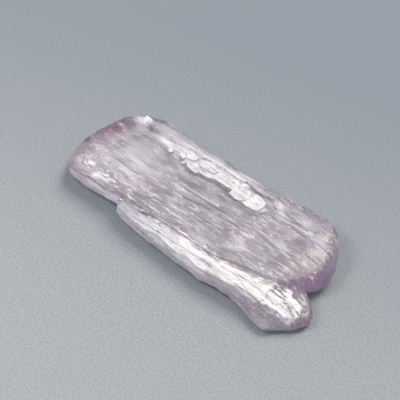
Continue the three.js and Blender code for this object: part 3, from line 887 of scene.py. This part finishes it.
def kunzite():
    """Kunzite, the lilac spodumene: clear and glossy, whitened by fine cracks and striations, and with
    more colour towards its ends. The eye gets silvery lines over a grey-lilac depth."""
    material = new_material("striated_kunzite")
    tree = material.node_tree
    place = node(tree, "ShaderNodeTexCoord", output="Object")
    # What paint() has written down for every vertex.
    kinds = ("milk", "texture", "dull", "cream", "mauve", "blush", "violet", "grey")
    share = {
        kind: node(tree, "ShaderNodeAttribute", output="Fac", attribute_name=kind) for kind in kinds
    }
    # Grains, short hairs and long fibres of the broken surface. The finest ones of a real crystal are
    # under a tenth of a millimetre, and these are drawn coarser so that they show.
    grains = node(tree, "ShaderNodeTexNoise", {"Vector": place, "Scale": 1 / (0.24 * MM), "Detail": 1})
    short_cells = node(
        tree, "ShaderNodeMapping",
        {"Vector": place, "Scale": (1 / (1.1 * MM), 1 / (0.19 * MM), 1 / (0.19 * MM))},
    )
    hairs = node(tree, "ShaderNodeTexNoise", {"Vector": short_cells, "Scale": 1, "Detail": 1})
    long_cells = node(
        tree, "ShaderNodeMapping",
        {"Vector": place, "Scale": (1 / (3.2 * MM), 1 / (0.21 * MM), 1 / (0.21 * MM))},
    )
    fibres = node(tree, "ShaderNodeTexNoise", {"Vector": long_cells, "Scale": 1, "Detail": 1})
    grainy = node(
        tree, "ShaderNodeMapRange",
        {"Value": grains, "From Min": 0.38, "From Max": 0.62, "To Min": -0.1, "To Max": 0.1},
    )
    hairy = node(
        tree, "ShaderNodeMapRange",
        {"Value": hairs, "From Min": 0.38, "From Max": 0.62, "To Min": -0.1, "To Max": 0.1},
    )
    bright_fibres = node(
        tree, "ShaderNodeMapRange",
        {"Value": fibres, "From Min": 0.6, "From Max": 0.7, "To Min": 0, "To Max": 0.4},
    )
    dark_fibres = node(
        tree, "ShaderNodeMapRange",
        {"Value": fibres, "From Min": 0.3, "From Max": 0.4, "To Min": -0.26, "To Max": 0},
    )
    # On the dull ends the highest of the grains sparkle white.
    sparkling = node(
        tree, "ShaderNodeMapRange",
        {"Value": grains, "From Min": 0.6, "From Max": 0.66, "To Min": 0, "To Max": 0.75},
    )
    both_fibres = node(tree, "ShaderNodeMath", {0: bright_fibres, 1: dark_fibres}, operation="ADD")
    streaks = node(tree, "ShaderNodeMath", {0: hairy, 1: both_fibres}, operation="ADD")
    rough = node(tree, "ShaderNodeMath", {0: grainy, 1: streaks}, operation="ADD")
    sparkling_milk = node(
        tree, "ShaderNodeMath", {0: sparkling, 1: share["dull"], 2: share["milk"]},
        operation="MULTIPLY_ADD",
    )
    white = node(
        tree, "ShaderNodeMath", {0: rough, 1: share["texture"], 2: sparkling_milk},
        operation="MULTIPLY_ADD", use_clamp=True,
    )
    # Soft patches of a warmer and a cooler grey in the clear parts.
    tints = node(tree, "ShaderNodeTexNoise", {"Vector": place, "Scale": 1 / (1.5 * MM), "Detail": 2})
    warmer = node(tree, "ShaderNodeMapRange", {"Value": tints, "From Min": 0.35, "From Max": 0.65})
    tint = node(tree, "ShaderNodeMath", {0: warmer, 1: share["blush"]}, operation="MULTIPLY")
    # Mauve and violet deepen the clear grey. Where it is broken up it is white, because light comes back
    # before it takes on the depth of colour, and cream or grey lies over that. On the side blade's slope
    # the white is partly a painted highlight, and the cream is painted warm light.
    body = colour("d0d5d4")
    # The grey is partly painted shade along the foot of the plates.
    for factor, hex_digits in (
        (tint, "dccfd5"), (share["mauve"], "c09bad"), (share["violet"], "b084ad"), (white, "f8f0f2"),
        (share["cream"], "fffaf0"), (share["grey"], "8a8387"),
    ):
        body = node(
            tree, "ShaderNodeMix", {"Factor": factor, MIX_A: body, MIX_B: colour(hex_digits)},
            MIX_RESULT, data_type="RGBA",
        )
    clear = node(
        tree, "ShaderNodeMapRange",
        {"Value": white, "From Min": 0, "From Max": 1, "To Min": 0.97, "To Max": 0.05},
    )
    glossy = node(
        tree, "ShaderNodeMapRange",
        {"Value": white, "From Min": 0, "From Max": 1, "To Min": 0.22, "To Max": 0.42},
    )
    dull = node(
        tree, "ShaderNodeMath", {0: share["dull"], 1: 0.32, 2: glossy}, operation="MULTIPLY_ADD"
    )
    relief = node(tree, "ShaderNodeMath", {0: hairs, 1: grains}, operation="ADD")
    bump = node(tree, "ShaderNodeBump", {"Height": relief, "Strength": 0.6, "Distance": 0.09 * MM})
    surface = node(
        tree, "ShaderNodeBsdfPrincipled",
        {
            "Base Color": body, "Roughness": dull, "IOR": 1.67, "Transmission Weight": clear,
            "Normal": bump,
        },
    )
    # The thicker the crystal, the more lilac the light that has come through it.
    depth = node(tree, "ShaderNodeVolumeAbsorption", {"Color": (0.8, 0.64, 0.82, 1), "Density": 8})
    node(tree, "ShaderNodeOutputMaterial", {"Surface": surface, "Volume": depth})
    return material


def floor_paper():
    """Matt blue-grey background paper, with painted light: its colour is a little lighter towards the
    front, standing for light that falls off towards the back, and it is grainy there. The fibres of paper
    are too fine to show, and the grains are drawn coarser so that they do."""
    material = new_material("matt_grey_paper")
    tree = material.node_tree
    place = node(tree, "ShaderNodeTexCoord", output="Object")
    grains = node(tree, "ShaderNodeTexNoise", {"Vector": place, "Scale": 1 / (0.36 * MM), "Detail": 1})
    # Painted light: the paper is graded darker towards the back, standing for light that falls off across
    # it.
    turned = node(tree, "ShaderNodeMapping", {"Vector": place, "Rotation": (0, 0, PAINTED_FALLOFF_TURN)})
    back = node(tree, "ShaderNodeSeparateXYZ", {"Vector": turned}, "Y")
    painted_falloff = node(
        tree, "ShaderNodeMapRange",
        {"Value": back, "From Min": PAINTED_FALLOFF_START, "From Max": PAINTED_FALLOFF_END},
        interpolation_type="SMOOTHSTEP",
    )
    grain = node(
        tree, "ShaderNodeMapRange",
        {"Value": grains, "From Min": 0.35, "From Max": 0.65, "To Min": -0.4, "To Max": 0.4},
    )
    towards_front = node(tree, "ShaderNodeMath", {0: 1, 1: painted_falloff}, operation="SUBTRACT")
    grade = node(tree, "ShaderNodeMath", {0: painted_falloff, 1: 0.17}, operation="ADD")
    uneven = node(
        tree, "ShaderNodeMath", {0: grain, 1: towards_front, 2: grade}, operation="MULTIPLY_ADD"
    )
    paper = node(
        tree, "ShaderNodeMix", {"Factor": uneven, MIX_A: colour("a3a5a3"), MIX_B: colour("838a90")},
        MIX_RESULT, data_type="RGBA",
    )
    surface = node(tree, "ShaderNodeBsdfPrincipled", {"Base Color": paper, "Roughness": 0.8})
    node(tree, "ShaderNodeOutputMaterial", {"Surface": surface})
    return material


# ---------------------------------------------------------------------------------------------
# The crystal
# ---------------------------------------------------------------------------------------------

# Edges sharper than this are seen as edges.
SHARP_ANGLE = math.radians(35)


def plan_cover(x, y, plates):
    """1 within the outline of a plate in plan and 0 outside: the least distance inside its sides is
    taken, and the greatest of that over the plates. Outlines are convex and run anticlockwise."""
    cover = np.zeros_like(x)
    for _, corners in plates:
        closed = np.array([*corners, corners[0]], float)
        inside = np.full_like(x, np.inf)
        for (x0, y0), (x1, y1) in zip(closed[:-1], closed[1:]):
            length = math.hypot(x1 - x0, y1 - y0)
            inside = np.minimum(inside, ((x0 - x) * (y1 - y0) - (y0 - y) * (x1 - x0)) / length)
        cover = np.maximum(cover, step(inside, *PLAN_EDGE))
    return cover


def from_end(end, x, y):
    """How far a place lies from an end of a blade, along x."""
    share = np.clip((y - end[0][0]) / (end[-1][0] - end[0][0]), 0, 1)
    return np.abs(end_place(end, share) - x)


def fine_lines(grades, x, row, rows_between, seed):
    """The sum of many lines strewn over these rows of the crystal, almost along x. Each is its
    strength times exp(-(d / w)^2) across, with d the distance from its axis and w its half width, and
    times 1 - u^4 along, with u from -1 at one end to 1 at the other."""
    random = np.random.default_rng(seed)
    total = np.zeros_like(x)
    for count, shortest, longest, half_width, weakest, strongest in grades:
        middles_x = random.uniform(x.min(), x.max(), count)
        rows = random.uniform(*rows_between, count)
        halves = random.uniform(shortest, longest, count) / 2
        slants = random.normal(0, LINE_SLANT, count)
        strengths = mix(weakest, strongest, random.uniform(0, 1, count) ** LINE_RARITY)
        for middle_x, middle, half, slant, strength in zip(middles_x, rows, halves, slants, strengths):
            near = np.flatnonzero((np.abs(x - middle_x) < half) & (np.abs(row - middle) < LINE_ROOM))
            u = (x[near] - middle_x) / half
            distance = row[near] - middle - slant * (x[near] - middle_x)
            total[near] += strength * (1 - u**4) * np.exp(-((distance / half_width) ** 2))
    return total


def glints():
    """The spots of the glints, strewn with a normal spread about each of their places."""
    random = np.random.default_rng(SEED["glints"])
    strewn = []
    for middle_x, middle_y, spread_x, spread_y, count in GLINTS:
        places_x = random.normal(middle_x, spread_x, count)
        places_y = random.normal(middle_y, spread_y, count)
        for x, y in zip(places_x, places_y):
            radius = random.uniform(*GLINT_RADII)
            strewn.append((x, y, GLINT_STRETCH * radius, radius, random.uniform(*GLINT_STRENGTHS)))
    return strewn


def crack_cover(x, y):
    """1 on a crack, and exp(-(d / w)^2) at the distance d from it, with w its half width."""
    nearest = np.full_like(x, np.inf)
    for crack in CRACKS:
        for (x0, y0), (x1, y1) in zip(crack[:-1], crack[1:]):
            length = math.hypot(x1 - x0, y1 - y0)
            share = ((x - x0) * (x1 - x0) + (y - y0) * (y1 - y0)) / length**2
            share = np.clip(share, 0, 1)
            distance = np.hypot(mix(x0, x1, share) - x, mix(y0, y1, share) - y)
            nearest = np.minimum(nearest, distance)
    return np.exp(-((nearest / CRACK_HALF_WIDTH) ** 2))


def ragged_edge(place, ragged, edge):
    """step() over an edge, moved to and fro by its share of the raggedness."""
    share, start, end = edge
    return step(place + share * ragged, start, end)


def slope_cover(x, y, z):
    """1 on the white slope of the side blade and 0 elsewhere: the product of its ragged edges, each of
    them 0 outside it and 1 inside, and of its heights."""
    low_line = along(SIDE_FRONT, x) + along(SIDE_FRONT_LEAN, x)
    share = (y - low_line) / (along(SIDE_CREST_LINE, x) - low_line) + stretches(SLOPE_NARROW, x)
    broad_ragged = noise_sum(SLOPE_BROAD_RAGGED, x, y, SEED["broad end rims"])
    ragged = noise_sum(SLOPE_RAGGED, x, y, SEED["slope rims"]) + step(x, *SLOPE_BROAD_END) * broad_ragged
    cover = ragged_edge(share, ragged, SLOPE_LOW_EDGE) * ragged_edge(share, ragged, SLOPE_CREST_EDGE)
    cover *= ragged_edge(y - along(SLOPE_FRONT, x), ragged, SLOPE_FRONT_EDGE)
    cover *= ragged_edge(from_end(SIDE_RIGHT_END, x, y) - along(SLOPE_RIM, y), ragged, SLOPE_RIM_EDGE)
    height = step(z, *SLOPE_HEIGHTS) + step(x, *SLOPE_TIP) * step(z, *SLOPE_TIP_HEIGHTS)
    return cover * step(x, *SLOPE_LEFT) * np.minimum(height, 1)


def shade_cover(x, y, z):
    """1 along the foot of the plates: within their plan moved to the right and the front, but outside
    their plan itself, and close to the face."""
    moved = plan_cover(x - SHADE_RIGHT, y + SHADE_FRONT, PLATES)
    close = step(z - along(BLADE_TOP, x), *SHADE_LEVELS)
    return moved * (1 - plan_cover(x, y, PLATES)) * close


def finish_zones(x, y, z):
    """How much each vertex belongs to each zone of finish, from 0 to 1. With them go its row, which is
    its place across the crystal and runs on down the walls, and how busy it is."""
    face = along(BLADE_TOP, x)
    drop = np.maximum(face - RIM_DROP - z, 0)
    row = y + np.sign(y - MIDDLE_LINE) * drop
    over_slope = z - PLATE_FRONT_HEIGHT - PLATE_SLOPE * (y - PLATE_FRONT_LINE)
    plates = plan_cover(x, y, PLATES) * step(over_slope, *PLATE_LEVELS)
    chips = plan_cover(x, y, [CORNER_CHIP, *chip_outlines()]) * step(z - face, *CHIP_LEVELS)
    cleaved = np.maximum(plates, chips)
    slope = slope_cover(x, y, z)
    left = step(from_end(BLADE_LEFT_END, x, y), *LEFT_REACH)
    left *= mix(1, LEFT_FRONT_SHARE, step(y, *LEFT_FRONT)) * mix(1, LEFT_BACK_SHARE, step(y, *LEFT_BACK))
    busy = mix(*BUSY_STRENGTHS, step(noise(x, row, *BUSY_CELLS, SEED["busy"]), *BUSY_EDGE))
    return SimpleNamespace(
        row=row,
        plates=plates,
        cleaved=cleaved,
        bed=plan_cover(x, y, PLATE_BED) * step(over_slope, *BED_LEVELS),
        slope=slope,
        frosted=np.maximum(cleaved, slope),
        wall=step(drop, *WALL_EDGE) * (1 - slope),
        left=left,
        right=step(from_end(BLADE_RIGHT_END, x, y), *RIGHT_REACH) * step(y, *RIGHT_FRONT),
        tip=step(from_end(SIDE_RIGHT_END, x, y), *TIP_REACH) * step(y, *TIP_BACK),
        busy=busy * (1 - np.clip(spots(CALM, x, y), 0, 1)),
    )


def face_lines(x, zone):
    """The bright and dark lines of the plain faces, as strong as each place is busy and weaker at the
    ends, and the single bright lines over all."""
    rows = (zone.row.min(), zone.row.max())
    lines = fine_lines(BRIGHT_LINES, x, zone.row, rows, SEED["bright lines"])
    lines -= fine_lines(DARK_LINES, x, zone.row, rows, SEED["dark lines"])
    plain = (1 - zone.frosted) * (1 - zone.wall)
    ends = mix(1, RIGHT_LINES, zone.right) * mix(1, LEFT_LINES, zone.left)
    single = [
        (*middle, length / 2, SINGLE_HALF_WIDTH, strength) for *middle, length, strength in SINGLE_LINES
    ]
    return lines * zone.busy * plain * ends + spots(single, x, zone.row)


def wall_milk(x, z):
    """How white the walls are: their level, in bands, with the stretches up them and along them."""
    bands = noise_sum(LONG_BANDS, x, z, SEED["long bands"])
    bands += noise_sum(SHORT_BANDS, x, z, SEED["short bands"])
    return WALL_WHITE + bands + stretches(WALL_WHITE_UPWARDS, z) + stretches(WALL_WHITE_ALONG, x)


def milkiness(x, y, z, zone):
    """How white each vertex is. The faces have veils, with painted highlights by the shell-shaped break,
    and patches, the walls bands, and the ends are clearer. Lines and glints are added, and the bed, the
    plates and the slope are laid over them."""
    patches = noise_sum(FACE_PATCHES, x, zone.row, SEED["face patches"])
    # Some of the veils are painted highlights, by the shell-shaped break at the left end.
    milk = mix(FACE_WHITE + spots(VEILS_AND_HIGHLIGHTS, x, y) + patches, wall_milk(x, z), zone.wall)
    milk += zone.left * (noise_sum(LEFT_CLOUDS, x, y, SEED["left clouds"]) - LEFT_CLEARING)
    milk -= zone.right * mix(*RIGHT_CLEARING, step(y, *RIGHT_CLEARING_FALL))
    milk += face_lines(x, zone) + spots(glints(), x, y) * (1 - zone.slope)
    milk = mix(milk, BED_WHITE, zone.bed)
    clouds = noise_sum(PLATE_CLOUDS, x, y, SEED["plate clouds"]) + PLATE_PATCHES * patches
    milk = mix(milk, PLATE_WHITE + clouds, zone.cleaved)
    # The white of the slope is partly pearly frosting and partly a painted highlight.
    slope_frost_and_highlight = SLOPE_FROST_AND_HIGHLIGHT * mix(SLOPE_START_WHITE, 1, step(x, *SLOPE_START))
    slope_lines = fine_lines(SLOPE_LINES, x, zone.row, SLOPE_ROWS, SEED["slope lines"])
    return mix(milk, slope_frost_and_highlight - slope_lines, zone.slope)


def texture_strength(zone):
    """How strong the fine texture is: as busy as each place of a face is, and the level of its own on
    a wall, a plate or the slope."""
    texture = np.maximum(zone.busy * mix(1, LEFT_TEXTURE, zone.left), CALM_TEXTURE)
    texture = mix(texture * mix(1, RIGHT_TEXTURE, zone.right), WALL_TEXTURE, zone.wall)
    texture = mix(texture, PLATE_TEXTURE, zone.cleaved)
    return mix(texture, SLOPE_TEXTURE, zone.slope)


def mauve_share(x, y, zone):
    """How mauve each vertex is: most of all on the left end and the side blade's tip."""
    clouds = noise_sum(LEFT_MAUVE_CLOUDS, x, y, SEED["left mauve"])
    clear = np.clip(zone.left * (LEFT_MAUVE + clouds) + spots(MAUVE, x, y), 0, 1) * (1 - zone.frosted)
    tip = zone.tip * (1 - zone.slope) * step(y, *TIP_MAUVE_FRONT)
    return np.maximum(np.maximum(clear, TIP_MAUVE * tip), SLOPE_MAUVE * zone.slope)


def paint(mesh):
    """Writes down for every vertex what the material reads there: how milky, textured, dull, cream,
    mauve, violet and grey it is, and how much pink its clear parts may have."""
    x, y, z = vertex_places(mesh)
    zone = finish_zones(x, y, z)
    cracks = CRACK_SHADE * crack_cover(x, y) * step(z, *CRACK_HEIGHTS)
    add_attribute(mesh, "milk", milkiness(x, y, z, zone) - cracks)
    add_attribute(mesh, "texture", texture_strength(zone))
    add_attribute(mesh, "dull", np.clip(zone.right + zone.tip + LEFT_DULLNESS * zone.left, 0, 1))
    plate_cream = PLATE_CREAM * np.maximum(zone.plates, zone.bed)
    # On the slope the cream is painted warm light.
    add_attribute(mesh, "cream", np.maximum(zone.slope * stretches(SLOPE_PAINTED_WARMTH, x), plate_cream))
    add_attribute(mesh, "mauve", mauve_share(x, y, zone))
    add_attribute(mesh, "blush", 1 - np.clip(spots(NEUTRAL, x, y), 0, 1))
    add_attribute(mesh, "violet", zone.right * mix(*RIGHT_VIOLET, step(y, *RIGHT_VIOLET_FALL)))
    # The grey is partly painted shade along the foot of the plates, and partly the dark colour of the
    # cracks and specks.
    grey = SHADE * shade_cover(x, y, z) + cracks + spots(SPECKS, x, y)
    add_attribute(mesh, "grey", np.clip(grey, 0, 1))


def make_crystal():
    """Both blades, the plates and the chips as one solid, with its veils, its painted highlights and
    shade, and the colour of its ends.
    """
    crystal = body_mesh("kunzite_blade", BLADE_DIVISIONS, blade_point)
    grown_on = [body_mesh("side_blade", SIDE_DIVISIONS, side_point)]
    for number, (lift, corners) in enumerate(PLATE_BED):
        seed = SEED["plate beds"] + number
        grown_on.append(plate_mesh(f"plate_bed_{number}", lift, corners, 0, seed))
    for number, (lift, corners) in enumerate([*PLATES, CORNER_CHIP, *chip_outlines()]):
        seed = SEED["plates"] + PLATE_SEED_STEP * number
        grown_on.append(plate_mesh(f"plate_{number}", lift, corners, PLATE_TILT, seed))
    grown_together(crystal, grown_on)
    mesh = crystal.data
    paint(mesh)
    mesh.shade_smooth()
    mesh.set_sharp_from_angle(angle=SHARP_ANGLE)
    mesh.materials.append(kunzite())
    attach(crystal, "root")
    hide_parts("kunzite_crystal")


make_crystal()

# ---------------------------------------------------------------------------------------------
# Floor, light and camera
# ---------------------------------------------------------------------------------------------

# Half the floor's width, and how far the camera stands off, are in metres.
FLOOR_HALF = 1.5
# A gap too thin to see, so that light leaving the crystal's lower face still meets the floor.
FLOOR_GAP = 0.02 * MM

CAMERA_AZIMUTH = math.radians(40)
CAMERA_ELEVATION = math.radians(50)
CAMERA_DISTANCE = 0.6
# What the square picture takes in, and where its middle lies from the crystal's origin.
PICTURE_WIDTH = 69.8 * MM
PICTURE_RIGHT = -0.89 * MM
PICTURE_UP = 4.45 * MM
# The camera sees from this near to this far, in metres.
CAMERA_NEAR = 0.01
CAMERA_FAR = 10

# Each softbox: the direction it stands in from the crystal, its distance and its width in metres, its
# power in watts and its colour.
SOFTBOXES = {
    "back_softbox": ((0.08, 0.6, 0.8), 0.9, 0.5, 6.9, (1, 0.95, 0.8)),
    "front_softbox": ((-0.4, -0.4, 0.82), 0.25, 0.08, 0.22, (1, 0.97, 0.82)),
}
SURROUNDING_COLOUR = (0.635, 0.715, 1.02, 1)
SURROUNDING_STRENGTH = 0.6


def make_floor():
    """A flat sheet just under the crystal."""
    mesh = bpy.data.meshes.new("floor")
    half = FLOOR_HALF
    corners = [(-half, -half), (half, -half), (half, half), (-half, half)]
    mesh.from_pydata([(x, y, -FLOOR_GAP) for x, y in corners], [], [range(len(corners))])
    mesh.materials.append(floor_paper())
    floor = bpy.data.objects.new("floor", mesh)
    bpy.context.scene.collection.objects.link(floor)


def aimed(name, data, place, target=(0, 0, 0)):
    """An object at a place, turned so that it looks at the target."""
    made = bpy.data.objects.new(name, data)
    made.location = place
    made.rotation_euler = (Vector(target) - Vector(place)).to_track_quat("-Z", "Y").to_euler()
    bpy.context.scene.collection.objects.link(made)
    return made


def softbox(name, direction, distance, size, power, light_colour):
    """A square area light at a distance in a direction from the crystal."""
    data = bpy.data.lights.new(name, "AREA")
    data.size = size
    data.energy = power
    data.color = light_colour
    place = Vector(direction).normalized() * distance
    return aimed(name, data, place)


def make_light():
    """A softbox behind the crystal, a smaller one that the side blade's slope mirrors, and a pale
    bluish surrounding."""
    for name, sizes in SOFTBOXES.items():
        softbox(name, *sizes)
    world = bpy.data.worlds.new("studio")
    world.use_nodes = True
    background = world.node_tree.nodes["Background"]
    background.inputs["Color"].default_value = SURROUNDING_COLOUR
    background.inputs["Strength"].default_value = SURROUNDING_STRENGTH
    bpy.context.scene.world = world


def make_camera():
    """A long lens at the viewing angle, with the picture's middle where the sizes above put it."""
    azimuth, elevation = CAMERA_AZIMUTH, CAMERA_ELEVATION
    right = Vector((math.cos(azimuth), math.sin(azimuth), 0))
    level_back = Vector((math.sin(azimuth), -math.cos(azimuth), 0))
    back = level_back * math.cos(elevation) + Vector((0, 0, math.sin(elevation)))
    up = back.cross(right)
    target = right * PICTURE_RIGHT + up * PICTURE_UP
    data = bpy.data.cameras.new("camera")
    data.lens = data.sensor_width * CAMERA_DISTANCE / PICTURE_WIDTH
    data.clip_start = CAMERA_NEAR
    data.clip_end = CAMERA_FAR
    bpy.context.scene.camera = aimed("camera", data, target + back * CAMERA_DISTANCE, target)


make_floor()
make_light()
make_camera()
bpy.context.scene.view_settings.view_transform = "Standard"
